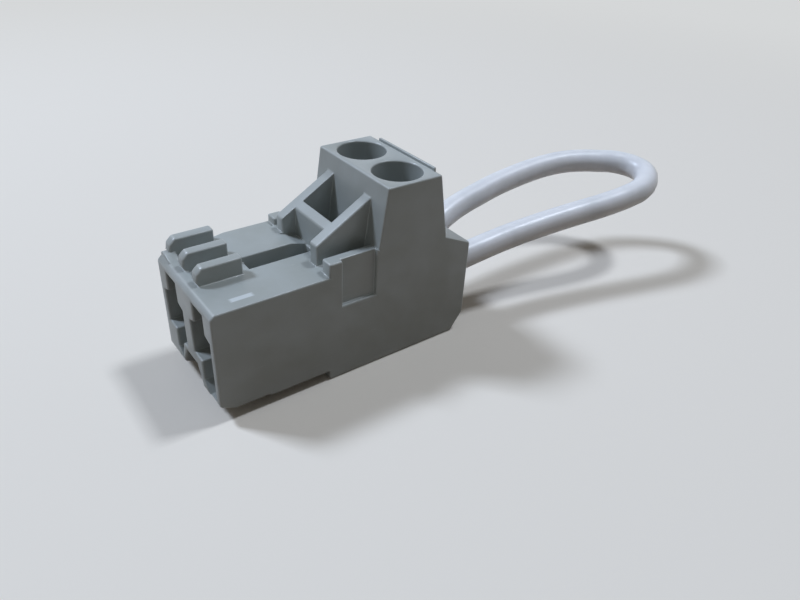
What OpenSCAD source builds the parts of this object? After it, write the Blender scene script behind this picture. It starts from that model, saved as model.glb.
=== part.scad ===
// Two-pole pluggable screw terminal plug with a solid-wire jumper across its wire entries.
// +X runs from the plug face to the wire face, +Z is up, the foot stands on Z = 0,
// and the origin is at the middle of the housing's length and width.

/* [Poles] */
// Distance between the two poles
pitch = 5.08; // [5:0.02:5.3]

/* [Housing] */
// Length from plug face to wire face
housing_length = 24; // [23.6:0.1:26]
// Height of the near pole's deck above the foot
deck_height = 10; // [9.9:0.05:10.3]
// Height of the far pole's raised deck above the near deck
far_deck_rise = 0.5; // [0.2:0.05:0.8]
// Lift of the plug nose above the foot
nose_lift = 0.85; // [0.6:0.05:0.95]
// Length of the plug nose, ahead of the foot
nose_length = 9.6; // [9:0.1:11]
// Length of the thinned lead-in under the nose
lead_in_length = 4.15; // [3:0.05:6]
// Extra lift of the lead-in
lead_in_step = 0.15; // [0.05:0.05:0.3]
// Chamfer under the plug face
nose_chamfer = 0.6; // [0.3:0.05:0.8]
// Chamfer along the plug face's upper edge
lip_chamfer = 0.35; // [0.1:0.05:0.5]
// Height of the wire face's lower chamfer
heel_height = 1.7; // [1:0.1:2.2]
// Length of the wire face's lower chamfer
heel_length = 1.2; // [0.6:0.1:1.8]

/* [Tower] */
// Height of the clamp tower above the foot
tower_height = 16.2; // [15.8:0.1:18]
// Length of the tower's top
tower_top_length = 5.2; // [5:0.05:5.6]
// Distance from the wire face back to the tower top
tower_setback = 3.85; // [3.6:0.05:4.2]
// Lean of the tower's front face in degrees
front_lean = 8; // [5:0.5:10]
// Height where the sloped shroud over the wire entries meets the tower
shroud_height = 10.4; // [10.1:0.05:10.8]
// Height of the wire face
wire_face_height = 9.1; // [8.8:0.05:9.8]
// Overhang of the shroud's foot beyond the tower top
shroud_lean = 1.05; // [0.8:0.05:1.3]
// Width of the marker lip along the tower's rear edge
marker_lip_width = 7.8; // [6:0.1:9]
// Height of the marker lip above the tower
marker_lip_rise = 0.15; // [0.05:0.05:0.3]
// How far the marker lip stands out
marker_lip_proud = 0.3; // [0.15:0.05:0.5]
// Height of the marker lip's rear face, below the tower's top
marker_lip_height = 0.5; // [0.3:0.05:0.7]
// Width of the groove ahead of the marker lip
marker_groove_width = 0.14; // [0.1:0.02:0.2]
// Depth of the groove ahead of the marker lip
marker_groove_depth = 0.15; // [0.1:0.05:0.25]

/* [Coding ribs] */
// Length of a coding rib
rib_length = 3.75; // [2.5:0.05:3.9]
// Thickness of a coding rib
rib_thickness = 0.95; // [0.7:0.05:1.1]
// Height of the ribs above the near deck
rib_height = 1.48; // [1.2:0.02:1.6]
// Distance from the plug face to the ribs' noses
rib_setback = 0.75; // [0.6:0.05:1.1]
// Chamfer of the ribs' noses
rib_chamfer = 0.45; // [0.3:0.05:0.6]
// Distance between ribs
rib_spacing = 2.62; // [2.4:0.01:2.7]
// Depth of the pockets between the ribs
rib_pocket_depth = 0.15; // [0.05:0.05:0.25]
// Length of the pockets between the ribs, along their floor
rib_pocket_length = 1.6; // [1.2:0.1:2]
// Height of the rise at the far end of the lip
lip_rise = 0.4; // [0.2:0.05:0.5]
// Width of the rise at the far end of the lip
lip_rise_width = 1.9; // [1.6:0.05:2.2]

/* [Deck] */
// Distance from the ribs' noses to the foot of the far deck's ramp
deck_ramp_setback = 2; // [1.6:0.1:2.4]
// Distance from the ribs' ends to the top of the far deck's ramp
deck_ramp_overrun = 1.05; // [0.8:0.05:1.3]
// Length of the far deck's fall to the crossbar
deck_fall_length = 1.7; // [1.2:0.1:2]
// Width of the slot between the poles
slot_width = 1.12; // [0.8:0.02:1.3]
// Length of the slot between the poles
slot_length = 5.5; // [4:0.1:5.6]
// Gap between the ribs' ends and the slot
slot_gap = 0.75; // [0.6:0.05:0.9]
// Depth of the slot below the near deck
slot_depth = 1.7; // [1:0.1:1.8]
// Length of the side rails, ahead of the tower's top
rail_length = 5.25; // [5:0.05:5.5]
// Thickness of the side rails
rail_thickness = 1.2; // [1:0.05:1.4]
// Height of the side rails above the near deck
rail_height = 1.15; // [0.9:0.05:1.4]
// Depth of the finger recess in each side
recess_depth = 0.4; // [0.2:0.05:0.5]
// Distance from the finger recess to the tower
recess_gap = 0.15; // [0.1:0.05:0.3]
// Length of the finger recess
recess_length = 3.2; // [2.5:0.1:3.6]
// Height of the finger recess below the rail top
recess_height = 4.15; // [3:0.05:5]

/* [Gussets] */
// Thickness of a gusset
gusset_thickness = 1.04; // [0.8:0.02:1.2]
// Distance from the near side to the near gusset
near_gusset_inset = 2; // [1.8:0.05:2.2]
// Distance from the far side to the far gusset
far_gusset_inset = 1.6; // [1.5:0.05:1.9]
// Height of the gussets' front ends above the near deck
gusset_front_height = 1.75; // [1.5:0.05:2]
// Slope of the gussets in degrees
gusset_slope = 30.5; // [26:0.5:33]
// Thickness of the crossbar between the gussets
crossbar_thickness = 0.8; // [0.6:0.05:1]
// Distance from the gussets' front ends to the crossbar
crossbar_setback = 1.25; // [0.8:0.05:1.6]
// Depth of the pocket behind the crossbar, below the near deck
core_pocket_depth = 1.7; // [1:0.1:1.8]

/* [Plug openings] */
// Width of a plug opening
opening_width = 3.6; // [3.3:0.05:3.7]
// Height of a plug opening's wide part
opening_height = 3.3; // [3.2:0.05:3.5]
// Floor of the wide part above the foot
opening_floor = 4.2; // [4:0.05:4.3]
// Fall of the wide part's roof beside the keyway
opening_slope = 0.3; // [0.2:0.05:0.5]
// Width of the keyway above the wide part
keyway_width = 1.9; // [1.4:0.05:2.2]
// Height of the keyway above the wide part
keyway_height = 1.7; // [1.2:0.05:1.8]
// Length of the keyway
keyway_length = 9; // [6:0.1:10]
// Width of the guide channel below the wide part
channel_width = 2.15; // [1.8:0.05:2.3]
// Length of the guide channel
channel_length = 3.2; // [2:0.1:4]
// Width of the slant along the guide channel's floor
channel_slant_width = 1; // [0.8:0.05:1.2]
// Height of the slant along the guide channel's floor
channel_slant_height = 0.8; // [0.6:0.05:1]
// Thickness of the floor under the guide channel
channel_floor = 0.6; // [0.5:0.05:0.8]
// Width of the notch under the plug face, at its roof
notch_width = 2.15; // [1.6:0.05:2.3]
// Width that the notch gains at its mouth
notch_flare = 1.4; // [0.8:0.05:1.6]
// Height of the notch's roof above the foot
notch_height = 3.2; // [2.8:0.05:3.4]
// Height of the notch's straight mouth above the lead-in
notch_mouth_height = 0.7; // [0.5:0.05:0.9]
// Length of the notch
notch_length = 8.4; // [5:0.1:8.8]
// Thickness of the wall round the notch
notch_wall = 0.45; // [0.35:0.05:0.55]

/* [Clamp] */
// Diameter of the screwdriver hole over each screw
access_diameter = 4.16; // [4.05:0.02:4.3]
// Thread diameter of the clamp screw
screw_diameter = 2.5; // [2.2:0.1:2.6]
// Diameter of the screw head
head_diameter = 3.5; // [3.2:0.05:3.6]
// Height of the screw head
head_height = 1.4; // [1.1:0.1:1.8]
// Running clearance round the screw head
head_clearance = 0.05; // [0.03:0.01:0.08]
// Chamfer round the screw head
head_chamfer = 0.2; // [0.1:0.05:0.3]
// Chamfer round the screw's tip
tip_chamfer = 0.3; // [0.2:0.05:0.5]
// Length of the screw's coned tip
tip_length = 0.4; // [0.3:0.05:0.6]
// Width of the driver slot
driver_slot_width = 0.6; // [0.5:0.05:0.8]
// Depth of the driver slot
driver_slot_depth = 0.75; // [0.5:0.05:0.9]
// Running clearance round the screw's thread
thread_clearance = 0.04; // [0.02:0.01:0.08]
// Gap between the screw tip and the contact bar
tip_gap = 0.03; // [0.02:0.01:0.05]
// Outer width of the clamp cage
cage_width = 3.5; // [3.3:0.05:3.6]
// Length of the clamp cage along the wire
cage_length = 4.6; // [4.2:0.1:4.8]
// Thickness of the cage's side walls
cage_wall = 0.5; // [0.4:0.05:0.6]
// Thickness of the cage's jaw
jaw_thickness = 0.9; // [0.7:0.05:1.1]
// Thickness of the cage's threaded roof
roof_thickness = 1.7; // [1.3:0.05:1.9]
// Distance between the grip grooves across the jaw
grip_spacing = 1.2; // [0.9:0.05:1.4]
// Width of a grip groove
grip_width = 0.3; // [0.2:0.05:0.4]
// Depth of a grip groove
grip_depth = 0.15; // [0.1:0.05:0.25]
// How far the cage drops when the clamp is opened
clamp_travel = 1.8; // [1:0.1:1.8]
// Sliding clearance round the cage
cage_clearance = 0.1; // [0.05:0.01:0.15]

/* [Contact] */
// Width of the contact bar
bar_width = 2.1; // [1.8:0.05:2.2]
// Thickness of the contact bar
bar_thickness = 0.8; // [0.6:0.05:0.9]
// Thickness of the contact's spring leaves
leaf_thickness = 0.35; // [0.25:0.05:0.4]
// Height of the spring leaves
leaf_height = 2.3; // [2:0.05:2.4]
// Gap between the spring leaves at their throat
throat_gap = 0.7; // [0.5:0.05:0.9]
// Distance from the plug face to the leaves' tips
leaf_setback = 2; // [1.5:0.1:3]
// Length of the spring leaves
leaf_length = 7; // [6:0.1:7.6]
// Length of the leaves' flared mouth
leaf_mouth_length = 1.8; // [1.4:0.1:2.2]
// Flare of each leaf at its tip
leaf_mouth_flare = 0.45; // [0.3:0.05:0.5]
// Length of the leaves' roots, beside the bar
leaf_root_length = 1.5; // [1.2:0.1:1.8]

/* [Jumper] */
// Outer diameter of the jumper's insulation
wire_diameter = 2.45; // [2.2:0.05:2.6]
// Diameter of the jumper's bare conductor
conductor_diameter = 1.13; // [0.9:0.01:1.2]
// Distance from the clamp chamber to the end of the insulation
strip_gap = 0.6; // [0.3:0.05:0.9]
// Distance from the clamp chamber's front wall to the bare ends
bare_setback = 0.3; // [0.2:0.05:0.6]
// Height of the wire axis at the entries
wire_height = 5.75; // [5.7:0.01:5.8]
// Width of a wire entry's throat
entry_width = 3; // [2.8:0.05:3.2]
// Height of a wire entry's throat
entry_height = 3.4; // [3:0.05:3.6]
// Widening of a wire entry at its mouth, on each side
entry_flare = 0.5; // [0.2:0.05:0.6]
// Length of the widening mouth
entry_flare_length = 1.3; // [0.8:0.1:1.8]
// Clearance between a bare end and what holds it
conductor_clearance = 0.02; // [0.01:0.01:0.04]

/* [Hidden] */
$fn = 48;
over = 1;           // cuts run this far past the faces that they open
joint = 0.1;        // pieces of one solid run this far into each other
overlap = 0.01;     // cuts that meet run this far into each other
near = -pitch / 2;  // pole centrelines
far = pitch / 2;
housing_width = 2 * pitch;
side = housing_width / 2;
far_deck_height = deck_height + far_deck_rise;

// Tower, from the wire face forwards
tower_back = housing_length - tower_setback;
tower_front = tower_back - tower_top_length;
tower_mid = (tower_front + tower_back) / 2;
function front_at(z) = tower_front - (tower_height - z) * tan(front_lean);

// Ribs: their noses lean back a little and are cut away below the lip
rib_undercut = 0.4;
rib_nose_lean = 0.1;
rib_pocket_slope = 0.7;
lip_rise_slope = 2;
lip_rise_chamfer = 0.3;
marker_lip_root = 0.3;   // how far the marker lip reaches into the tower
marker_lip_slope = 0.6;  // drop of its underside

// Rails and gussets start together; gussets and crossbar share one sloped top
rail_front = tower_front - rail_length;
near_gusset_near_face = near_gusset_inset - side;
near_gusset_far_face = near_gusset_near_face + gusset_thickness;
far_gusset_far_face = side - far_gusset_inset;
far_gusset_near_face = far_gusset_far_face - gusset_thickness;
crossbar_front = rail_front + crossbar_setback;
crossbar_back = crossbar_front + crossbar_thickness;
function slope_at(x) = deck_height + gusset_front_height + (x - rail_front) * tan(gusset_slope);

// Contact bar and clamp heights stack up from the wire axis
conductor_radius = conductor_diameter / 2;
bar_bottom = wire_height + conductor_radius + conductor_clearance;
bar_top = bar_bottom + bar_thickness;
jaw_top = wire_height - conductor_radius - conductor_clearance;
cage_bottom = jaw_top - jaw_thickness;
roof_bottom = bar_top + clamp_travel + cage_clearance;
cage_top = roof_bottom + roof_thickness;
chamber_top = cage_top + cage_clearance;
chamber_front = tower_mid - cage_length / 2 - cage_clearance;
chamber_back = tower_mid + cage_length / 2 + cage_clearance;
chamber_half = cage_width / 2 + cage_clearance;
head_bottom = chamber_top + cage_clearance;
head_top = head_bottom + head_height;
bulkhead = 1;       // wall between a plug opening and its clamp chamber
bar_clearance = 0.02;
socket_end = chamber_front - bulkhead;

// Jumper: the insulation is stripped back to the cage, and its loop stands clear behind the plug
strip_x = chamber_back + strip_gap;
bare_start = chamber_front + bare_setback;
lead = strip_x - housing_length / 2;
loop = [
    [12, near, 5.8], [14.5, -2.6, 6.05], [16.5, -2.7, 6.3], [18.5, -2.9, 6.6], [22.4, -3.5, 7.15],
    [26.4, -4.3, 7.7], [30.5, -5.15, 8.2], [33.4, -5.55, 8.6], [35.8, -5.4, 8.85], [37.55, -4.6, 9.1],
    [38.6, -3.45, 9.3], [38.8, -2.2, 9.4], [38.5, -0.95, 9.45], [37.75, 0.15, 9.5], [36.55, 1.35, 9.4],
    [35.1, 2.4, 9.35], [33.3, 3.4, 9.2], [31.2, 4, 9], [28.8, 4.3, 8.75], [26.2, 4.4, 8.45],
    [23.8, 4.35, 8.15], [21.4, 4.15, 7.8], [19, 3.9, 7.45], [16.8, 3.5, 7.05], [14.4, 2.9, 6.4],
    [12, far, 5.8]
];
route = concat([[lead, near, wire_height]], loop, [[lead, far, wire_height]]);

// A plate between y0 and y1 with an outline in X and Z
module side_plate(y0, y1) {
    translate([0, y1, 0]) rotate([90, 0, 0]) linear_extrude(y1 - y0) children();
}

// A bar between x0 and x1 with a section in Y and Z
module along_x(x0, x1) {
    translate([x0, 0, 0]) rotate([90, 0, 90]) linear_extrude(x1 - x0) children();
}

// The whole housing seen from its side, without what stands on its deck
module side_outline() {
    shroud_foot = tower_back + shroud_lean;
    polygon([
        [0, nose_lift + lead_in_step + nose_chamfer],
        [2 * nose_chamfer, nose_lift + lead_in_step],
        [lead_in_length, nose_lift + lead_in_step],
        [lead_in_length, nose_lift],
        [nose_length, nose_lift],
        [nose_length, 0],
        [housing_length - heel_length, 0],
        [housing_length, heel_height],
        [housing_length, wire_face_height],
        [shroud_foot, shroud_height],
        [tower_back, tower_height],
        [tower_front, tower_height],
        [front_at(deck_height), deck_height],
        [lip_chamfer, deck_height],
        [0, deck_height - lip_chamfer]
    ]);
}

// Raised deck of the far pole, with its ramp behind the ribs and its fall to the crossbar
module far_deck() {
    ramp_start = rib_setback + deck_ramp_setback;
    ramp_end = rib_setback + rib_length + deck_ramp_overrun;
    fall_start = crossbar_front - deck_fall_length;
    base = deck_height - over;
    side_plate(slot_width / 2, far_gusset_near_face) polygon([
        [ramp_start, base], [ramp_start, deck_height], [ramp_end, far_deck_height],
        [fall_start, far_deck_height], [crossbar_front, deck_height], [crossbar_front, base]
    ]);
    side_plate(far_gusset_near_face, side) polygon([
        [ramp_start, base], [ramp_start, deck_height], [ramp_end, far_deck_height],
        [front_at(far_deck_height), far_deck_height], [front_at(base), base]
    ]);
}

// One coding rib, with the nose that leans over the lip
module coding_rib(y) {
    top = deck_height + rib_height;
    back = rib_setback + rib_length;
    root = deck_height - rib_undercut;
    nose = rib_setback + rib_nose_lean;
    side_plate(y, y + rib_thickness) polygon([
        [rib_setback + rib_undercut, root], [rib_setback, deck_height + rib_chamfer],
        [nose, top - rib_chamfer], [nose + rib_chamfer, top], [back, top], [back, root]
    ]);
}

module coding_ribs() {
    for (i = [0:2]) coding_rib(side - rib_thickness - i * rib_spacing);
}

// Rise at the far end of the lip, ahead of the far rib
module lip_end() {
    top = deck_height + lip_rise;
    foot = side - lip_rise_width;
    shoulder = foot + lip_rise_slope * lip_rise;
    along_x(lip_chamfer, rib_setback + rib_undercut + joint) polygon([
        [foot, deck_height - over], [foot, deck_height], [shoulder, top],
        [side - lip_rise_chamfer, top], [side, top - lip_rise_chamfer], [side, deck_height - over]
    ]);
}

// The gusset's sloped top runs on into the leaning tower wall
module gusset(y) {
    meet = tower_front - joint;
    side_plate(y, y + gusset_thickness) polygon([
        [rail_front, deck_height - over], [rail_front, slope_at(rail_front)],
        [meet, slope_at(meet)], [meet, deck_height - over]
    ]);
}

module crossbar() {
    side_plate(near_gusset_far_face, far_gusset_near_face) polygon([
        [crossbar_front, deck_height - over], [crossbar_front, slope_at(crossbar_front)],
        [crossbar_back, slope_at(crossbar_back)], [crossbar_back, deck_height - over]
    ]);
}

// Side rail with the finger recess that opens at its top
module side_rail() {
    top = deck_height + rail_height;
    side_plate(-side, rail_thickness - side) polygon([
        [rail_front, deck_height - over], [rail_front, top], [front_at(top), top],
        [front_at(deck_height - over), deck_height - over]
    ]);
}

module finger_recess() {
    top = deck_height + rail_height;
    back = front_at(top) - recess_gap;
    translate([back - recess_length, -side - over, top - recess_height])
        cube([recess_length, over + recess_depth, recess_height + over]);
}

module marker_lip() {
    side_plate(-marker_lip_width / 2, marker_lip_width / 2) polygon([
        [tower_back - marker_lip_root, tower_height], [tower_back, tower_height],
        [tower_back, tower_height + marker_lip_rise],
        [tower_back + marker_lip_proud, tower_height + marker_lip_rise],
        [tower_back + marker_lip_proud, tower_height - marker_lip_height],
        [tower_back - marker_lip_root, tower_height - marker_lip_height - marker_lip_slope]
    ]);
}

// Fine groove that sets the marker lip off from the tower's top
module marker_groove() {
    translate([tower_back - marker_groove_width / 2, -marker_lip_width / 2,
               tower_height - marker_groove_depth])
        cube([marker_groove_width, marker_lip_width, marker_groove_depth + over]);
}

// Cavity behind the plug face: wide socket space with a keyway above it
module plug_cavity(y) {
    half = opening_width / 2;
    key = keyway_width / 2;
    top = opening_floor + opening_height;
    along_x(-over, socket_end) translate([y, 0]) polygon([
        [-half, opening_floor], [half, opening_floor], [half, top - opening_slope],
        [key, top], [-key, top], [-half, top - opening_slope]
    ]);
    along_x(-over, keyway_length) translate([y - key, top - over])
        square([keyway_width, keyway_height + over]);
}

// Guide channel under the wide space, with a ledge beside it
module guide_channel(y) {
    left = y - opening_width / 2;
    right = left + channel_width;
    floor_z = nose_lift + channel_floor + lead_in_step;
    along_x(-over, channel_length) polygon([
        [left, opening_floor + over], [right, opening_floor + over],
        [right, floor_z + channel_slant_height], [right - channel_slant_width, floor_z],
        [left, floor_z]
    ]);
}

// Section of the notch under the plug face, grown by a wall
module notch_section(wall) {
    roof = notch_width / 2 + wall;
    mouth = roof + notch_flare / 2;
    knee = nose_lift + lead_in_step + notch_mouth_height;
    polygon([
        [-roof, notch_height + wall], [roof, notch_height + wall],
        [mouth, knee], [mouth, 0], [-mouth, 0], [-mouth, knee]
    ]);
}

// Chamber for the clamp cage, open below so that the cage can be put in
module clamp_chamber(y) {
    translate([chamber_front, y - chamber_half, -over])
        cube([chamber_back - chamber_front, 2 * chamber_half, chamber_top + over]);
    // Stepped hole from the top: screwdriver access above, running bore for the head below
    translate([tower_mid, y, head_top + head_clearance])
        cylinder(d = access_diameter, h = tower_height - head_top + over);
    translate([tower_mid, y, chamber_top - overlap])
        cylinder(r = head_diameter / 2 + head_clearance,
                 h = head_top - chamber_top + head_clearance + 2 * overlap);
    // Slot in the bulkhead for the contact bar
    translate([socket_end - over, y - bar_width / 2 - cage_clearance, bar_bottom - bar_clearance])
        cube([bulkhead + 2 * over, bar_width + 2 * cage_clearance, bar_thickness + 2 * bar_clearance]);
}

// Wire entry: a straight throat with a flared rectangular mouth
module wire_entry(y) {
    w = entry_width / 2;
    h = entry_height / 2;
    flare_start = housing_length - entry_flare_length;
    grow = entry_flare * (entry_flare_length + over) / entry_flare_length;
    translate([chamber_back - over, y - w, wire_height - h])
        cube([housing_length - chamber_back + 2 * over, entry_width, entry_height]);
    intersection() {
        translate([0, y, wire_height - entry_height])
            linear_extrude(2 * entry_height) polygon([
                [flare_start, -w], [housing_length + over, -w - grow],
                [housing_length + over, w + grow], [flare_start, w]
            ]);
        side_plate(y - entry_width, y + entry_width) polygon([
            [flare_start, wire_height - h], [housing_length + over, wire_height - h - grow],
            [housing_length + over, wire_height + h + grow], [flare_start, wire_height + h]
        ]);
    }
}

module deck_slot() {
    start = rib_setback + rib_length + slot_gap;
    translate([start, -slot_width / 2, deck_height - slot_depth])
        cube([slot_length, slot_width, slot_depth + over]);
}

// Pocket that keeps the walls thin between the crossbar, the gussets and the tower
module core_pocket() {
    low = deck_height - core_pocket_depth;
    high = tower_height;
    side_plate(near_gusset_far_face, far_gusset_near_face) polygon([
        [crossbar_back, low], [front_at(low), low], [front_at(high), high], [crossbar_back, high]
    ]);
}

module rib_pockets() {
    start = rib_setback + rib_undercut;
    end = start + rib_pocket_length;
    low = deck_height - rib_pocket_depth;
    rise = rib_pocket_depth + over;
    side_plate(side - 2 * rib_spacing - rib_thickness, side + over) polygon([
        [start, low], [end, low], [end + rib_pocket_slope * rise, low + rise], [start, low + rise]
    ]);
}

module housing() color("#a8aba0") translate([-housing_length / 2, 0, 0]) {
    difference() {
        union() {
            difference() {
                union() {
                    difference() {
                        union() {
                            side_plate(-side, side) side_outline();
                            far_deck();
                        }
                        rib_pockets();
                    }
                    coding_ribs();
                    lip_end();
                    crossbar();
                    gusset(near_gusset_near_face);
                    gusset(far_gusset_near_face);
                    side_rail();
                    mirror([0, 1, 0]) side_rail();
                    marker_lip();
                }
                for (y = [near, far]) {
                    plug_cavity(y);
                    guide_channel(y);
                    clamp_chamber(y);
                    wire_entry(y);
                }
                deck_slot();
                core_pocket();
                finger_recess();
                mirror([0, 1, 0]) finger_recess();
                marker_groove();
            }
            // Wall that closes the far guide channel against the notch
            intersection() {
                along_x(0, notch_length) notch_section(notch_wall);
                side_plate(-side, side) side_outline();
            }
        }
        along_x(-over, notch_length - notch_wall) notch_section(0);
    }
}

// Socket contact: a bar through the clamp, and two spring leaves folded from its sides
module contact(y) {
    leaf_end = leaf_setback + leaf_length;
    out = bar_width / 2;
    throat = throat_gap / 2;
    steps = 10;
    throat_x = leaf_setback + leaf_mouth_length;
    root_x = leaf_end - leaf_root_length;
    // The leaf swings in to its throat along a smooth wave, then flares at its tip
    function leaf_y(t) = throat + (out - leaf_thickness - throat) * (1 - cos(180 * t)) / 2;
    inner = [for (i = [0:steps]) [throat_x + (root_x - throat_x) * i / steps, leaf_y(i / steps)]];
    outer = [for (i = [steps:-1:0]) inner[i] + [0, leaf_thickness]];
    translate([-housing_length / 2, y, 0]) {
        translate([root_x, -out, bar_bottom])
            cube([tower_mid + cage_length / 2 - root_x, bar_width, bar_thickness]);
        for (s = [0, 1]) mirror([0, s, 0])
            translate([0, 0, bar_top - leaf_height]) linear_extrude(leaf_height) polygon(concat(
                [[leaf_setback, throat + leaf_mouth_flare]], inner,
                [[leaf_end, out - leaf_thickness], [leaf_end, out]], outer,
                [[leaf_setback, throat + leaf_mouth_flare + leaf_thickness]]
            ));
    }
}

module contact_near() color("#b9b7a8") contact(near);
module contact_far() color("#b9b7a8") contact(far);

// Clamp cage: jaw below, side walls, and a thick roof with the thread
module clamp_cage(y) {
    inner = cage_width - 2 * cage_wall;
    translate([tower_mid - housing_length / 2, y, 0]) difference() {
        translate([-cage_length / 2, -cage_width / 2, cage_bottom])
            cube([cage_length, cage_width, cage_top - cage_bottom]);
        translate([-cage_length / 2 - over, -inner / 2, jaw_top])
            cube([cage_length + 2 * over, inner, roof_bottom - jaw_top]);
        translate([0, 0, roof_bottom - over])
            cylinder(r = screw_diameter / 2 + thread_clearance, h = roof_thickness + 2 * over);
        // Grip grooves across the jaw
        for (i = [-1:1])
            translate([i * grip_spacing - grip_width / 2, -inner / 2, jaw_top - grip_depth])
                cube([grip_width, inner, grip_depth + over]);
    }
}

module clamp_cage_near() color("#c9c6b4") clamp_cage(near);
module clamp_cage_far() color("#c9c6b4") clamp_cage(far);

// Captive clamp screw: slotted cheese head, plain shank and coned tip that bears on the bar
module clamp_screw(y) {
    r = screw_diameter / 2;
    head_r = head_diameter / 2;
    tip = bar_top + tip_gap;
    translate([tower_mid - housing_length / 2, y, 0]) difference() {
        rotate_extrude() polygon([
            [0, tip], [r - tip_chamfer, tip], [r, tip + tip_length], [r, head_bottom],
            [head_r, head_bottom], [head_r, head_top - head_chamfer],
            [head_r - head_chamfer, head_top], [0, head_top]
        ]);
        translate([-head_diameter, -driver_slot_width / 2, head_top - driver_slot_depth])
            cube([2 * head_diameter, driver_slot_width, driver_slot_depth + over]);
    }
}

module clamp_screw_near() color("#c4c6c8") clamp_screw(near);
module clamp_screw_far() color("#c4c6c8") clamp_screw(far);

// Bare end of the jumper's conductor, clamped between jaw and bar
module bare_end(y) {
    translate([bare_start - housing_length / 2, y, wire_height]) rotate([0, 90, 0])
        cylinder(d = conductor_diameter, h = strip_x - bare_start);
}

module bare_end_near() color("#c98b5c") bare_end(near);
module bare_end_far() color("#c98b5c") bare_end(far);

// Round tube swept along a route, one ring at each of its points
function unit(v) = v / norm(v);
function heading(p, i) = unit(p[min(i + 1, len(p) - 1)] - p[max(i - 1, 0)]);
function ring(p, i, r, sides) =
    let (t = heading(p, i), s = unit(cross(t, [0, 0, 1])), u = cross(s, t), step = 360 / sides)
    [for (k = [0:sides - 1]) p[i] + r * (cos((k + 0.5) * step) * s + sin((k + 0.5) * step) * u)];

module swept_tube(p, d, sides) {
    n = len(p);
    points = [for (i = [0:n - 1]) each ring(p, i, d / 2, sides)];
    faces = concat(
        [[for (k = [0:sides - 1]) k]],
        [for (i = [0:n - 2]) for (k = [0:sides - 1])
            let (a = i * sides, b = a + sides, m = (k + 1) % sides) [a + k, b + k, b + m, a + m]],
        [[for (k = [sides - 1:-1:0]) (n - 1) * sides + k]]
    );
    polyhedron(points, faces);
}

module jumper_wire() color("#e9ebf0") swept_tube(route, wire_diameter, 8);

housing();
contact_near();
contact_far();
clamp_cage_near();
clamp_cage_far();
clamp_screw_near();
clamp_screw_far();
bare_end_near();
bare_end_far();
jumper_wire();
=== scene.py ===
# Two-pole pluggable terminal plug with a jumper wire, dressed and lit for a studio picture.
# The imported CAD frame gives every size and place; this script adds soft moulded edges, threads and finishes.
import itertools
import math

import bmesh
import bpy
from mathutils import Matrix, Vector
from mathutils.geometry import interpolate_bezier


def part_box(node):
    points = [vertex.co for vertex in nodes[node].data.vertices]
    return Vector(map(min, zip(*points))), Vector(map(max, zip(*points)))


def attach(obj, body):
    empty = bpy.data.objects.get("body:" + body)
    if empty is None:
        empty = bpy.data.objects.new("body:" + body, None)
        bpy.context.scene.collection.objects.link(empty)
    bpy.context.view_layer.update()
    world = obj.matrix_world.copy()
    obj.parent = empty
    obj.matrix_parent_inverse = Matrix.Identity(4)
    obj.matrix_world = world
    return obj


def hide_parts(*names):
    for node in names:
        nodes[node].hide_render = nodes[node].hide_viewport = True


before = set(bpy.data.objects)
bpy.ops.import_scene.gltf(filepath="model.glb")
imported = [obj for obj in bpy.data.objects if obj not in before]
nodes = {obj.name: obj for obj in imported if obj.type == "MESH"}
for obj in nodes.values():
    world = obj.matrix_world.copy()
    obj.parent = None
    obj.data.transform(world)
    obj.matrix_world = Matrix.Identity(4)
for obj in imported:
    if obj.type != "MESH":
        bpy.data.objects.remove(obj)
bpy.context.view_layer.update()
mm = 0.001
print("stage: frame loaded,", len(nodes), "CAD nodes")


def linear(hexColour):
    # sRGB hex to a linear colour with full alpha
    parts = [int(hexColour[i : i + 2], 16) / 255 for i in (1, 3, 5)]
    return [c / 12.92 if c <= 0.04045 else ((c + 0.055) / 1.055) ** 2.4 for c in parts] + [1]


def perMm(size):
    # Texture scale at which one feature of a noise or wave is about this many millimetres wide
    return 1 / (size * mm)


def addNode(tree, kind, inputs=None, **settings):
    # Adds a node with its settings; an input is a plain value or another node's socket
    node = tree.nodes.new(kind)
    for name, value in settings.items():
        setattr(node, name, value)
    for key, value in (inputs or {}).items():
        if isinstance(value, bpy.types.NodeSocket):
            tree.links.new(value, node.inputs[key])
        else:
            node.inputs[key].default_value = value
    return node


def addNoise(tree, place, sizeMm, detail, **settings):
    # A noise whose features are about this many millimetres wide on the object
    inputs = {"Vector": place, "Scale": perMm(sizeMm), "Detail": detail}
    inputs.update({name.capitalize(): value for name, value in settings.items()})
    return addNode(tree, "ShaderNodeTexNoise", inputs).outputs["Fac"]


def addRange(tree, value, given, wanted=(0, 1)):
    # Stretches the given stretch of a value onto the wanted one, and holds it there beyond the ends
    return addNode(tree, "ShaderNodeMapRange", {
        "Value": value, "From Min": given[0], "From Max": given[1], "To Min": wanted[0], "To Max": wanted[1],
    }).outputs[0]


def addBump(tree, height, strength, deepMm, **settings):
    # Relief of this depth in millimetres, on top of another relief if its normal is given
    inputs = {"Height": height, "Strength": strength, "Distance": deepMm * mm}
    inputs.update({name.capitalize(): value for name, value in settings.items()})
    return addNode(tree, "ShaderNodeBump", inputs).outputs[0]


# The camera and the jumper come first

cameraLook = {
    "placeMm": (-25.176, -42.926, 37.447),
    "heading": 38.173,  # degrees from +Y towards +X
    "downTilt": 33.488,
    "roll": 3.325,
    "lens": 30.61,  # in mm, like the sensor
    "sensor": 36,
}


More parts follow.
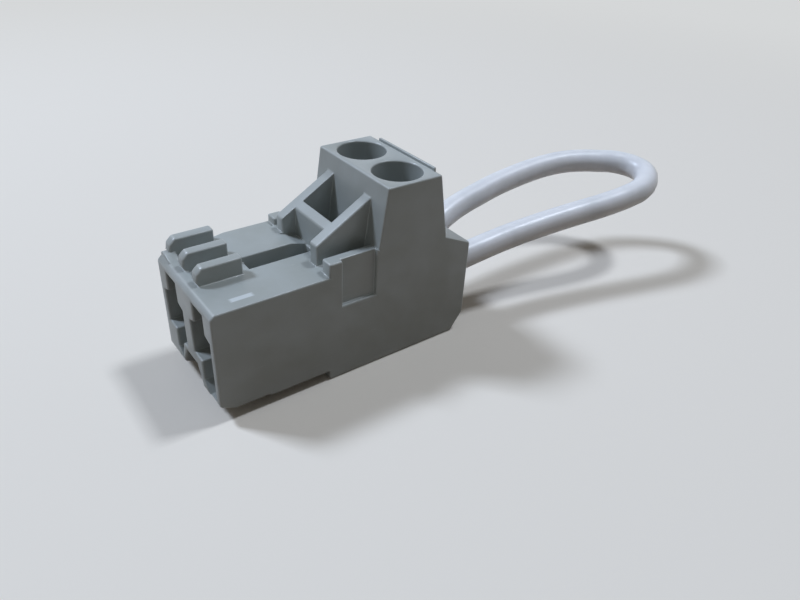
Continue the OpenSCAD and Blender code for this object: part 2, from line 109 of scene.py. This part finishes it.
def makeCamera(look):
    heading, tilt, roll = (math.radians(look[k]) for k in ("heading", "downTilt", "roll"))
    forward = Vector((
        math.cos(tilt) * math.sin(heading), math.cos(tilt) * math.cos(heading), -math.sin(tilt)
    ))
    right = Vector((math.cos(heading), -math.sin(heading), 0))
    up = right.cross(forward)
    turnedRight = math.cos(roll) * right + math.sin(roll) * up
    turnedUp = math.cos(roll) * up - math.sin(roll) * right
    camera = bpy.data.objects.new("camera", bpy.data.cameras.new("camera"))
    bpy.context.scene.collection.objects.link(camera)
    axes = Matrix((turnedRight, turnedUp, -forward)).transposed()
    camera.matrix_world = Matrix.Translation(Vector(look["placeMm"]) * mm) @ axes.to_4x4()
    camera.data.sensor_fit = "HORIZONTAL"
    camera.data.sensor_width = look["sensor"]
    camera.data.lens = look["lens"]
    camera.data.clip_start = 1 * mm
    camera.data.clip_end = 10
    bpy.context.scene.camera = camera


jumperLook = {
    "diameterMm": 2.45,
    "exitMm": (12, -2.54, 5.8),
    "routeMm": [
        (8.55, -2.54, 5.75), (12, -2.54, 5.8), (14.5, -2.6, 6.05), (16.5, -2.7, 6.3), (18.5, -2.9, 6.6),
        (22.4, -3.5, 7.15), (26.4, -4.3, 7.7), (30.5, -5.15, 8.2), (33.4, -5.55, 8.6), (35.8, -5.4, 8.85),
        (37.55, -4.6, 9.1), (38.6, -3.45, 9.3), (38.8, -2.2, 9.4), (38.5, -0.95, 9.45), (37.75, 0.15, 9.5),
        (36.55, 1.35, 9.4), (35.1, 2.4, 9.35), (33.3, 3.4, 9.2), (31.2, 4, 9), (28.8, 4.3, 8.75),
        (26.2, 4.4, 8.45), (23.8, 4.35, 8.15), (21.4, 4.15, 7.8), (19, 3.9, 7.45), (16.8, 3.5, 7.05),
        (14.4, 2.9, 6.4), (12, 2.54, 5.8), (8.55, 2.54, 5.75),
    ],
    "stepsBetweenPoints": 6,
    "roundness": 7,  # extra points in each half of the tube's section
    "weldMm": 0.001,  # closes the end caps
}


def makeJumper(look):
    # One smooth line through the route's points, with the insulation wound round it as a tube
    curve = bpy.data.curves.new("jumperLine", "CURVE")
    curve.dimensions = "3D"
    curve.bevel_depth = look["diameterMm"] / 2 * mm
    curve.bevel_resolution = look["roundness"]
    curve.use_fill_caps = True
    line = curve.splines.new("BEZIER")
    line.resolution_u = look["stepsBetweenPoints"]
    knots = line.bezier_points
    knots.add(len(look["routeMm"]) - 1)
    for knot, place in zip(knots, look["routeMm"]):
        knot.co = Vector(place) * mm
        knot.handle_left_type = knot.handle_right_type = "AUTO"
    holder = bpy.data.objects.new("jumperLine", curve)
    bpy.context.scene.collection.objects.link(holder)
    bpy.context.view_layer.update()
    steps = look["stepsBetweenPoints"] + 1
    path = [knots[0].co.copy()]
    for a, b in zip(knots[:-1], knots[1:]):
        path += interpolate_bezier(a.co, a.handle_right, b.handle_left, b.co, steps)[1:]
    mesh = bpy.data.meshes.new_from_object(holder.evaluated_get(bpy.context.evaluated_depsgraph_get()))
    bpy.data.objects.remove(holder)
    work = bmesh.new()
    work.from_mesh(mesh)
    bmesh.ops.remove_doubles(work, verts=work.verts, dist=look["weldMm"] * mm)
    work.to_mesh(mesh)
    work.free()
    mesh.shade_smooth()
    jumper = bpy.data.objects.new("jumperInsulation", mesh)
    bpy.context.scene.collection.objects.link(jumper)
    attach(jumper, "plug")
    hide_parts("jumper_wire")
    return jumper, path


makeCamera(cameraLook)
jumper, jumperPath = makeJumper(jumperLook)
print("stage: camera and jumper made")


def startMaterial(name):
    # A material whose Principled shader is ready to be fed, and the object's own coordinates
    material = bpy.data.materials.new(name)
    material.use_nodes = True
    tree = material.node_tree
    shader = tree.nodes["Principled BSDF"]
    place = addNode(tree, "ShaderNodeTexCoord").outputs["Object"]
    return material, tree, shader, place


def blendColours(tree, factor, first, second):
    # First colour where the factor is 0, second where it is 1
    node = addNode(tree, "ShaderNodeMix", {0: factor, 6: first, 7: second}, data_type="RGBA")
    return node.outputs[2]


middleOfNoise = (0.3, 0.7)  # the levels that nearly all of a noise lies between
unevenPlating = (0.35, 0.68)

polyamideLook = {
    "colour": "#a5abaa",  # light grey
    "cloudy": "#9da29f",  # where the melt flowed a little darker
    "rubbed": "#bfc4c3",  # edges polished by handling
    "specks": "#c6cbc9",
    "roughness": (0.34, 0.44),
    "cloudMm": 5,
    "clouding": (0.38, 0.66),  # noise levels between which the clouding sets in
    "grainMm": 0.09,  # spark-eroded skin, drawn coarse enough to show
    "grainDeepMm": 0.012,
    "sinkMm": 2.6,  # faint hollows over thick walls
    "sinkDeepMm": 0.16,
    "scratchMm": 0.35,
    "scratchStretch": (0.12, 1, 1),  # along the length, because the plug slides in and out along X
    "scratching": (0.66, 0.76),
    "scratchShare": 0.55,
    "wearMm": 0.8,
    "wearPolish": -0.14,  # added to the roughness where an edge is rubbed
    "padPlaceMm": (-9.05, -3.93, 10),  # small polished pad on the near deck, painted paler as a highlight
    "padHalfMm": (0.95, 0.26, 0.3),
    # the pad's pale colour is a painted highlight, a lamp's glint drawn onto the polished patch
    "padPaintedHighlight": "#d3dadd",
    "padBorder": (0.8, 1.05),  # where the pad fades, in half sizes
    "padShare": 0.75,
    "padPolish": -0.1,
    "ior": 1.53,
}


def mouldedPolyamide(look):
    # Glass-filled polyamide from a spark-eroded mould: an even satin skin, faintly cloudy,
    # with soft sink marks, a few fine scuffs and paler, smoother edges, and a smoother pad
    # on the near deck whose pale colour is a painted highlight
    material, tree, shader, place = startMaterial("moulded polyamide, satin")
    cloud = addNoise(tree, place, look["cloudMm"], 4, roughness=0.55)
    clouding = addRange(tree, cloud, look["clouding"])
    base = blendColours(tree, clouding, linear(look["colour"]), linear(look["cloudy"]))

    stretched = addNode(tree, "ShaderNodeMapping", {"Vector": place, "Scale": look["scratchStretch"]})
    scuff = addNoise(tree, stretched.outputs[0], look["scratchMm"], 5, roughness=0.7)
    scuffed = addRange(tree, scuff, look["scratching"], (0, look["scratchShare"]))
    base = blendColours(tree, scuffed, base, linear(look["specks"]))

    edge = addNode(tree, "ShaderNodeAttribute", attribute_name="edgeRub")
    wear = addNoise(tree, place, look["wearMm"], 3)
    worn = addNode(tree, "ShaderNodeMath", {0: edge.outputs["Fac"], 1: wear}, operation="MULTIPLY")
    base = blendColours(tree, worn.outputs[0], base, linear(look["rubbed"]))

    # The pad: within its half sizes on every axis, with a soft border. Its pale colour is a painted highlight; its
    # lower roughness is real polish
    offset = addNode(tree, "ShaderNodeVectorMath", {
        0: place, 1: [-c * mm for c in look["padPlaceMm"]],
    }, operation="ADD")
    away = addNode(tree, "ShaderNodeVectorMath", {0: offset.outputs[0]}, operation="ABSOLUTE")
    scaled = addNode(tree, "ShaderNodeVectorMath", {
        0: away.outputs[0], 1: [c * mm for c in look["padHalfMm"]],
    }, operation="DIVIDE")
    axes = addNode(tree, "ShaderNodeSeparateXYZ", {0: scaled.outputs[0]}).outputs
    wider = addNode(tree, "ShaderNodeMath", {0: axes[0], 1: axes[1]}, operation="MAXIMUM")
    widest = addNode(tree, "ShaderNodeMath", {0: wider.outputs[0], 1: axes[2]}, operation="MAXIMUM")
    padAndPaintedHighlight = addRange(tree, widest.outputs[0], look["padBorder"], (look["padShare"], 0))
    base = blendColours(tree, padAndPaintedHighlight, base, linear(look["padPaintedHighlight"]))
    tree.links.new(base, shader.inputs["Base Color"])

    rough = addRange(tree, cloud, middleOfNoise, look["roughness"])
    rubbed = addNode(tree, "ShaderNodeMath", {
        0: worn.outputs[0], 1: look["wearPolish"], 2: rough,
    }, operation="MULTIPLY_ADD")
    polished = addNode(tree, "ShaderNodeMath", {
        # the same pad mask also makes the surface smoother here, as real polish
        0: padAndPaintedHighlight, 1: look["padPolish"], 2: rubbed.outputs[0],
    }, operation="MULTIPLY_ADD")
    tree.links.new(polished.outputs[0], shader.inputs["Roughness"])

    grain = addNoise(tree, place, look["grainMm"], 2)
    sink = addNoise(tree, place, look["sinkMm"], 1)
    fine = addBump(tree, grain, 0.35, look["grainDeepMm"])
    tree.links.new(addBump(tree, sink, 0.5, look["sinkDeepMm"], normal=fine), shader.inputs["Normal"])
    shader.inputs["IOR"].default_value = look["ior"]
    return material


vinylLook = {
    "colour": "#e9eaed",
    "dulled": "#dcdee1",  # handling dulls the white
    "mark": "#b4b5b6",
    "roughness": (0.3, 0.44),
    "patchMm": 3,
    "dulling": (0.4, 0.7),
    "markMm": 0.7,
    "marking": (0.68, 0.78),
    "markShare": 0.5,
    "waveMm": 1.6,
    "waveDeepMm": 0.07,
    "skinMm": 0.25,
    "skinDeepMm": 0.01,
    "scatterMm": 2.2,  # how far light gets into the white
    "ior": 1.53,
}


def extrudedVinyl(look):
    # Extruded soft PVC insulation: a smooth white skin with a soft gloss, faint waves from the
    # extruder and a few grey handling marks
    material, tree, shader, place = startMaterial("extruded white PVC, soft gloss")
    patch = addNoise(tree, place, look["patchMm"], 4)
    dull = addRange(tree, patch, look["dulling"])
    base = blendColours(tree, dull, linear(look["colour"]), linear(look["dulled"]))
    spots = addNoise(tree, place, look["markMm"], 6, roughness=0.75)
    marked = addRange(tree, spots, look["marking"], (0, look["markShare"]))
    base = blendColours(tree, marked, base, linear(look["mark"]))
    tree.links.new(base, shader.inputs["Base Color"])
    rough = addRange(tree, patch, middleOfNoise, look["roughness"])
    tree.links.new(rough, shader.inputs["Roughness"])
    waves = addBump(tree, addNoise(tree, place, look["waveMm"], 2), 0.5, look["waveDeepMm"])
    skin = addNoise(tree, place, look["skinMm"], 2)
    skinned = addBump(tree, skin, 0.3, look["skinDeepMm"], normal=waves)
    tree.links.new(skinned, shader.inputs["Normal"])
    shader.inputs["IOR"].default_value = look["ior"]
    shader.inputs["Subsurface Weight"].default_value = 1
    shader.inputs["Subsurface Radius"].default_value = [look["scatterMm"] * mm] * 3
    return material


metalLooks = {
    "tinnedBronze": {
        "name": "tinned bronze strip, matt", "colour": "#c9c7bd", "second": "#b3b1a6",
        "patchMm": 0.9, "lineMm": 0.06, "stretch": (0.06, 1, 1), "roughness": (0.34, 0.5), "bumpMm": 0.006,
    },
    "nickelledBrass": {
        "name": "nickel-plated brass, milled", "colour": "#cbc6b4", "second": "#b8b09a",
        "patchMm": 0.7, "lineMm": 0.07, "stretch": (1, 1, 0.08), "roughness": (0.26, 0.42), "bumpMm": 0.005,
    },
    "zincSteel": {
        "name": "bright zinc-plated steel, turned", "colour": "#c8ccd0", "second": "#b0b6bd",
        "patchMm": 0.8, "lineMm": 0.05, "stretch": (1, 1, 6), "roughness": (0.2, 0.36), "bumpMm": 0.004,
    },
    "drawnCopper": {
        "name": "drawn bare copper", "colour": "#d08a60", "second": "#b4694a",
        "patchMm": 0.6, "lineMm": 0.04, "stretch": (0.04, 1, 1), "roughness": (0.24, 0.4), "bumpMm": 0.003,
    },
}


def workedMetal(look):
    # Plated or drawn metal: lines left by the tool run one way, and the plating is slightly uneven
    material, tree, shader, place = startMaterial(look["name"])
    patch = addNoise(tree, place, look["patchMm"], 4)
    stretched = addNode(tree, "ShaderNodeMapping", {"Vector": place, "Scale": look["stretch"]})
    lines = addNoise(tree, stretched.outputs[0], look["lineMm"], 3)
    uneven = addRange(tree, patch, unevenPlating)
    base = blendColours(tree, uneven, linear(look["colour"]), linear(look["second"]))
    tree.links.new(base, shader.inputs["Base Color"])
    rough = addRange(tree, lines, middleOfNoise, look["roughness"])
    tree.links.new(rough, shader.inputs["Roughness"])
    tree.links.new(addBump(tree, lines, 0.5, look["bumpMm"]), shader.inputs["Normal"])
    shader.inputs["Metallic"].default_value = 1
    return material


polyamide = mouldedPolyamide(polyamideLook)
vinyl = extrudedVinyl(vinylLook)
metals = {key: workedMetal(look) for key, look in metalLooks.items()}
jumper.data.materials.append(vinyl)
print("stage: materials made")

flat = math.radians(0.6)
weldMm = 0.035
sliverMm = 0.002
leastWidthMm = 0.01
probes = (0.06, 0.28, 0.5, 0.72, 0.94)  # places along an edge where its side's width is measured
keptApart = 0.9  # share of a gap that the roundings on both sides of it may fill
leastSlant = 0.3
straightOn = math.radians(145)
sameWeight = 0.001
leastBend = math.radians(28)
roundedShare = 0.38  # of the width of a side, at each of its edges
hollowShare = 0.6  # of the rounding of an outer edge, in an inner corner
level = 0.99  # a face whose normal rises more than this is level


def cleanCopy(node):
    # The node's loose triangles joined up, with flat faces made whole again
    work = bmesh.new()
    work.from_mesh(nodes[node].data)
    bmesh.ops.remove_doubles(work, verts=work.verts, dist=weldMm * mm)
    for _ in range(2):
        bmesh.ops.dissolve_degenerate(work, dist=sliverMm * mm, edges=work.edges)
    bmesh.ops.dissolve_limit(
        work, angle_limit=flat, verts=work.verts, edges=work.edges, use_dissolve_boundaries=False
    )
    return work


def bend(edge):
    return edge.calc_face_angle() if len(edge.link_faces) == 2 else 0


def widthAcross(corner):
    # Least width of the flat side, measured inwards from the edge that starts at the corner
    start, end = corner.vert.co, corner.link_loop_next.vert.co
    along = (end - start).normalized()
    inward = corner.face.normal.cross(along)
    least = math.inf
    for share in probes:
        spot = start.lerp(end, share)
        for edge in corner.face.edges:
            ends = [vert.co - spot for vert in edge.verts]
            before, after = (point.dot(along) for point in ends)
            if edge is corner.edge or before * after >= 0 or bend(edge) < flat:
                continue
            depths = [point.dot(inward) for point in ends]
            depth = depths[0] + (depths[1] - depths[0]) * before / (before - after)
            if depth > leastWidthMm * mm:
                least = min(least, depth)
    return least


def easeTightCorners(work, weight, radius):
    # Where a cut-out's corner comes close to another edge of the same side, both get less rounding
    for face in work.faces:
        for corner in face.loops:
            sides = (corner.link_loop_prev.edge, corner.edge)
            if corner.is_convex or min(bend(side) for side in sides) < flat:
                continue
            here = corner.vert.co
            arms = [(side.other_vert(corner.vert).co - here).normalized() for side in sides]
            inward = -(arms[0] + arms[1]).normalized()
            across = face.normal.cross(inward)
            sharpness = math.sin(arms[0].angle(arms[1]) / 2)
            for edge in face.edges:
                ends = [vert.co - here for vert in edge.verts]
                left, right = (point.dot(across) for point in ends)
                if edge in sides or left * right >= 0 or bend(edge) < flat:
                    continue
                depths = [point.dot(inward) for point in ends]
                depth = depths[0] + (depths[1] - depths[0]) * left / (left - right)
                slant = abs((ends[1] - ends[0]).normalized().dot(across))
                corners = max(side[weight] for side in sides) / sharpness
                taken = radius * (corners + edge[weight] / max(slant, leastSlant))
                if 0 < depth and keptApart * depth < taken:
                    for near in (*sides, edge):
                        near[weight] *= keptApart * depth / taken


def evenRims(work, weight):
    # Edges that run on into each other share the least rounding among them, so that arcs stay true
    changed = True
    while changed:
        changed = False
        for vert in work.verts:
            rounded = [edge for edge in vert.link_edges if edge[weight] > 0]
            for first, second in itertools.combinations(rounded, 2):
                arms = [edge.other_vert(vert).co - vert.co for edge in (first, second)]
                least = min(first[weight], second[weight])
                if arms[0].angle(arms[1]) > straightOn and max(first[weight], second[weight]) > least + sameWeight:
                    first[weight] = second[weight] = least
                    changed = True


def softened(name, node, material, radius, segments=2, turned=False):
    # The node's shape with rounded edges: each edge is as round as its narrower face allows, and
    # inner corners less so. The middle of an outer edge carries the attribute edgeRub
    work = cleanCopy(node)
    weight = work.edges.layers.float.new("bevel_weight_edge")
    for edge in work.edges:
        if bend(edge) < leastBend:
            continue
        room = roundedShare * min(widthAcross(corner) for corner in edge.link_loops)
        wanted = min(radius, room) / radius
        edge[weight] = wanted if edge.is_convex else wanted * hollowShare
    easeTightCorners(work, weight, radius)
    if turned:
        evenRims(work, weight)
    # A side with a hole in it is left as pieces that wrap round the hole, so it goes to triangles
    wrapped = {face for edge in work.edges if bend(edge) < flat for face in edge.link_faces}
    bmesh.ops.triangulate(work, faces=list(wrapped), quad_method="BEAUTY", ngon_method="BEAUTY")
    mesh = bpy.data.meshes.new(name)
    work.to_mesh(mesh)
    work.free()
    mesh.materials.append(material)
    mesh.materials.append(material)
    piece = bpy.data.objects.new(name, mesh)
    bpy.context.scene.collection.objects.link(piece)
    bevel = piece.modifiers.new("soft edges", "BEVEL")
    bevel.limit_method = "WEIGHT"
    bevel.width = radius
    bevel.segments = segments
    bevel.use_clamp_overlap = False
    bevel.loop_slide = False
    bevel.material = 1
    settled(piece)
    markRubbedEdges(piece.data)
    return piece


def settled(piece):
    # Replaces the piece's mesh with its modifiers' result
    view = bpy.context.evaluated_depsgraph_get()
    view.update()
    mesh = bpy.data.meshes.new_from_object(piece.evaluated_get(view))
    old = piece.data
    piece.modifiers.clear()
    piece.data = mesh
    mesh.name = piece.name
    bpy.data.meshes.remove(old)


def markRubbedEdges(mesh):
    # 1 along the middle of outward bevels, 0 elsewhere; then all faces share one material slot
    work = bmesh.new()
    work.from_mesh(mesh)
    rub = work.verts.layers.float.new("edgeRub")
    for vert in work.verts:
        if vert.link_faces and all(face.material_index == 1 for face in vert.link_faces):
            ring = sum((edge.other_vert(vert).co for edge in vert.link_edges), Vector()) / len(vert.link_edges)
            if (ring - vert.co).dot(vert.normal) < 0:
                vert[rub] = 1
    for face in work.faces:
        face.material_index = 0
        face.smooth = True
    work.to_mesh(mesh)
    work.free()
    mesh.materials.pop(index=1)


def flattenShading(piece):
    # Flat faces stay flat to the eye and only the rounded edges shade smoothly
    normals = piece.modifiers.new("even shading", "WEIGHTED_NORMAL")
    normals.weight = 100
    normals.keep_sharp = False
    settled(piece)


def finishPiece(piece, body, node):
    flattenShading(piece)
    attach(piece, body)
    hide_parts(node)
    return piece


housingLook = {"edgeRadiusMm": 0.16, "segments": 2}


def makeHousing(look):
    piece = softened("mouldedHousing", "housing", polyamide, look["edgeRadiusMm"] * mm, segments=look["segments"])
    return finishPiece(piece, "plug", "housing")


housing = makeHousing(housingLook)
print("stage: housing softened,", len(housing.data.polygons), "faces")

metalEdges = {"contact": 0.05, "clamp_cage": 0.09, "bare_end": 0.12}
for side in ("near", "far"):
    for kind, metal, slot, body in (
        ("contact", "tinnedBronze", "tinned_bronze", "plug"),
        ("clamp_cage", "nickelledBrass", "nickelled_cage", "cage_" + side),
        ("bare_end", "drawnCopper", "bare_copper", "plug"),
    ):
        node = f"{kind}_{side}"
        piece = softened(node + "_finished", node, metals[metal], metalEdges[kind] * mm)
        finishPiece(piece, body, node)
print("stage: contacts, cages and bare ends softened")


screwLook = {
    "threadRadiusMm": 1.25,
    "ridgeMm": 0.2,  # depth of the thread
    "leadMm": 0.45,  # rise in one turn
    "threadTopMm": 10.85,
    "threadFootMm": 7.6,
    "headFootMm": 10.935,  # underside of the head
    "marginMm": 0.01,
    "reachMm": 0.1,  # how far outside the thread's radius the shank's points may lie
    "edgeRadiusMm": 0.07,
    "roundness": 28,  # stretches of the helix in one turn
}


def threadTree():
    # Winds a ridge round the screw's core; the core comes in as the modifier's own mesh
    tree = bpy.data.node_groups.new("screw thread", "GeometryNodeTree")
    tree.interface.new_socket("Geometry", in_out="INPUT", socket_type="NodeSocketGeometry")
    sizes = {}
    for label, kind in (
        ("Core Radius", "Float"), ("Ridge", "Float"), ("Height", "Float"), ("Foot", "Float"),
        ("Turns", "Float"), ("Steps Per Turn", "Int"), ("Axis X", "Float"), ("Axis Y", "Float"),
        ("Finish", "Material"),
    ):
        socket = tree.interface.new_socket(label, in_out="INPUT", socket_type="NodeSocket" + kind)
        sizes[label] = socket.identifier
    tree.interface.new_socket("Geometry", in_out="OUTPUT", socket_type="NodeSocketGeometry")
    given = addNode(tree, "NodeGroupInput").outputs
    helix = addNode(tree, "GeometryNodeCurveSpiral", {
        "Resolution": given["Steps Per Turn"], "Rotations": given["Turns"],
        "Start Radius": given["Core Radius"], "End Radius": given["Core Radius"], "Height": given["Height"],
    })
    profile = addNode(tree, "GeometryNodeCurvePrimitiveCircle", {"Resolution": 4, "Radius": given["Ridge"]})
    ridge = addNode(tree, "GeometryNodeCurveToMesh", {
        "Curve": helix.outputs["Curve"], "Profile Curve": profile.outputs["Curve"], "Fill Caps": True,
    })
    spot = addNode(tree, "ShaderNodeCombineXYZ", {0: given["Axis X"], 1: given["Axis Y"], 2: given["Foot"]})
    placed = addNode(tree, "GeometryNodeTransform", {
        "Geometry": ridge.outputs["Mesh"], "Translation": spot.outputs[0],
    })
    both = addNode(tree, "GeometryNodeJoinGeometry")
    tree.links.new(given["Geometry"], both.inputs[0])
    tree.links.new(placed.outputs[0], both.inputs[0])
    real = addNode(tree, "GeometryNodeRealizeInstances", {"Geometry": both.outputs[0]})
    finish = addNode(tree, "GeometryNodeSetMaterial", {
        "Geometry": real.outputs[0], "Material": given["Finish"],
    })
    result = addNode(tree, "NodeGroupOutput")
    tree.links.new(finish.outputs[0], result.inputs[0])
    return tree, sizes


def makeScrew(side, look, tree, sizes):
    node = "clamp_screw_" + side
    piece = softened("threadedScrew_" + side, node, metals["zincSteel"], look["edgeRadiusMm"] * mm, turned=True)
    low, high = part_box(node)
    axis = (low + high) / 2
    threadRadius = look["threadRadiusMm"] * mm
    core = threadRadius - look["ridgeMm"] * mm
    for vert in piece.data.vertices:
        # The shank shrinks to the thread's core, up to the fillet under the head
        out = Vector((vert.co.x - axis.x, vert.co.y - axis.y, 0))
        below = vert.co.z < (look["headFootMm"] + look["marginMm"]) * mm
        if below and core < out.length < threadRadius + look["reachMm"] * mm:
            vert.co -= out.normalized() * min(out.length - core, look["ridgeMm"] * mm)
    height = (look["threadTopMm"] - look["threadFootMm"]) * mm
    thread = piece.modifiers.new("thread", "NODES")
    thread.node_group = tree
    for label, value in (
        ("Core Radius", core), ("Ridge", look["ridgeMm"] * mm), ("Height", height),
        ("Foot", look["threadFootMm"] * mm), ("Turns", height / (look["leadMm"] * mm)),
        ("Steps Per Turn", look["roundness"]), ("Axis X", axis.x), ("Axis Y", axis.y),
        ("Finish", metals["zincSteel"]),
    ):
        thread[sizes[label]] = value
    settled(piece)
    for face in piece.data.polygons:
        if abs(face.normal.z) > level:
            face.use_smooth = False  # the turned faces of the head are dead flat
    return finishPiece(piece, "screw_" + side, node)


screwThread, threadSizes = threadTree()
for side in ("near", "far"):
    makeScrew(side, screwLook, screwThread, threadSizes)
print("stage: screws threaded")


stageLook = {
    "floorColour": "#f2ebe0",
    "floorBounce": "#8c7d6f",  # what the object sees of it, so that its shaded side stays shaded
    "floorSizeMm": 4000,
    "middleMm": (14, 0, 0),
    "evenFromMm": (55, 190),
    "evenColour": "#d5d7d8",
    "worldColour": "#f6f4f0",
    "backdropColour": "#e6e8ea",
    "worldStrength": 0.13,
    "lamps": {
        "keyLight": {"towardsMm": (-187, 226, 366), "sizeMm": 80, "watts": 1.36, "colour": "#dbe9ff"},
        "topLight": {"towardsMm": (212, -38, 456), "sizeMm": 70, "watts": 0.94, "colour": "#e6f0ff"},
    },
}


def seenDirectly(tree):
    # 1 where the camera, a reflection or a clear material looks at the surface
    ray = addNode(tree, "ShaderNodeLightPath").outputs
    either = addNode(tree, "ShaderNodeMath", {
        0: ray["Is Camera Ray"], 1: ray["Is Glossy Ray"],
    }, operation="MAXIMUM")
    return addNode(tree, "ShaderNodeMath", {
        0: either.outputs[0], 1: ray["Is Transmission Ray"],
    }, operation="MAXIMUM").outputs[0]


def makeFloor(look):
    # Matt painted board
    half = look["floorSizeMm"] / 2 * mm
    mesh = bpy.data.meshes.new("floor")
    corners = [(-half, -half, 0), (half, -half, 0), (half, half, 0), (-half, half, 0)]
    mesh.from_pydata(corners, [], [(0, 1, 2, 3)])
    floor = bpy.data.objects.new("floor", mesh)
    bpy.context.scene.collection.objects.link(floor)
    material, tree, shader, place = startMaterial("matt painted board")
    seen = seenDirectly(tree)
    colour = blendColours(tree, seen, linear(look["floorBounce"]), linear(look["floorColour"]))
    tree.links.new(colour, shader.inputs["Base Color"])
    shader.inputs["Roughness"].default_value = 0.9
    shader.inputs["Specular IOR Level"].default_value = 0.1
    # Away from the object and its shadow the board is seen in one even tone, out to the horizon
    away = addNode(tree, "ShaderNodeVectorMath", {
        0: place, 1: [c * mm for c in look["middleMm"]],
    }, operation="DISTANCE").outputs["Value"]
    near, far = look["evenFromMm"]
    even = addNode(tree, "ShaderNodeMapRange", {
        "Value": away, "From Min": near * mm, "From Max": far * mm,
    }, interpolation_type="SMOOTHSTEP")
    share = addNode(tree, "ShaderNodeMath", {0: even.outputs[0], 1: seen}, operation="MULTIPLY")
    tone = addNode(tree, "ShaderNodeEmission", {"Color": linear(look["evenColour"]), "Strength": 1})
    both = addNode(tree, "ShaderNodeMixShader", {
        0: share.outputs[0], 1: shader.outputs[0], 2: tone.outputs[0],
    })
    tree.links.new(both.outputs[0], tree.nodes["Material Output"].inputs["Surface"])
    mesh.materials.append(material)


def makeWorld(look):
    world = bpy.data.worlds.new("studio")
    bpy.context.scene.world = world
    world.use_nodes = True
    tree = world.node_tree
    tree.nodes.clear()
    soft = addNode(tree, "ShaderNodeBackground", {
        "Color": linear(look["worldColour"]), "Strength": look["worldStrength"],
    })
    white = addNode(tree, "ShaderNodeBackground", {"Color": linear(look["backdropColour"]), "Strength": 1})
    both = addNode(tree, "ShaderNodeMixShader", {
        0: seenDirectly(tree), 1: soft.outputs[0], 2: white.outputs[0],
    })
    addNode(tree, "ShaderNodeOutputWorld", {"Surface": both.outputs[0]})


def makeLamp(name, look):
    # A square soft box aimed at the middle of the housing
    lamp = bpy.data.lights.new(name, "AREA")
    lamp.shape = "SQUARE"
    lamp.size = look["sizeMm"] * mm
    lamp.energy = look["watts"]
    lamp.color = linear(look["colour"])[:3]
    holder = bpy.data.objects.new(name, lamp)
    bpy.context.scene.collection.objects.link(holder)
    place = Vector(look["towardsMm"]) * mm
    holder.location = place
    holder.rotation_mode = "QUATERNION"
    holder.rotation_quaternion = place.to_track_quat("Z", "Y")


makeFloor(stageLook)
makeWorld(stageLook)
for name, look in stageLook["lamps"].items():
    makeLamp(name, look)
bpy.context.scene.view_settings.view_transform = "Standard"
print("stage: floor and light set")
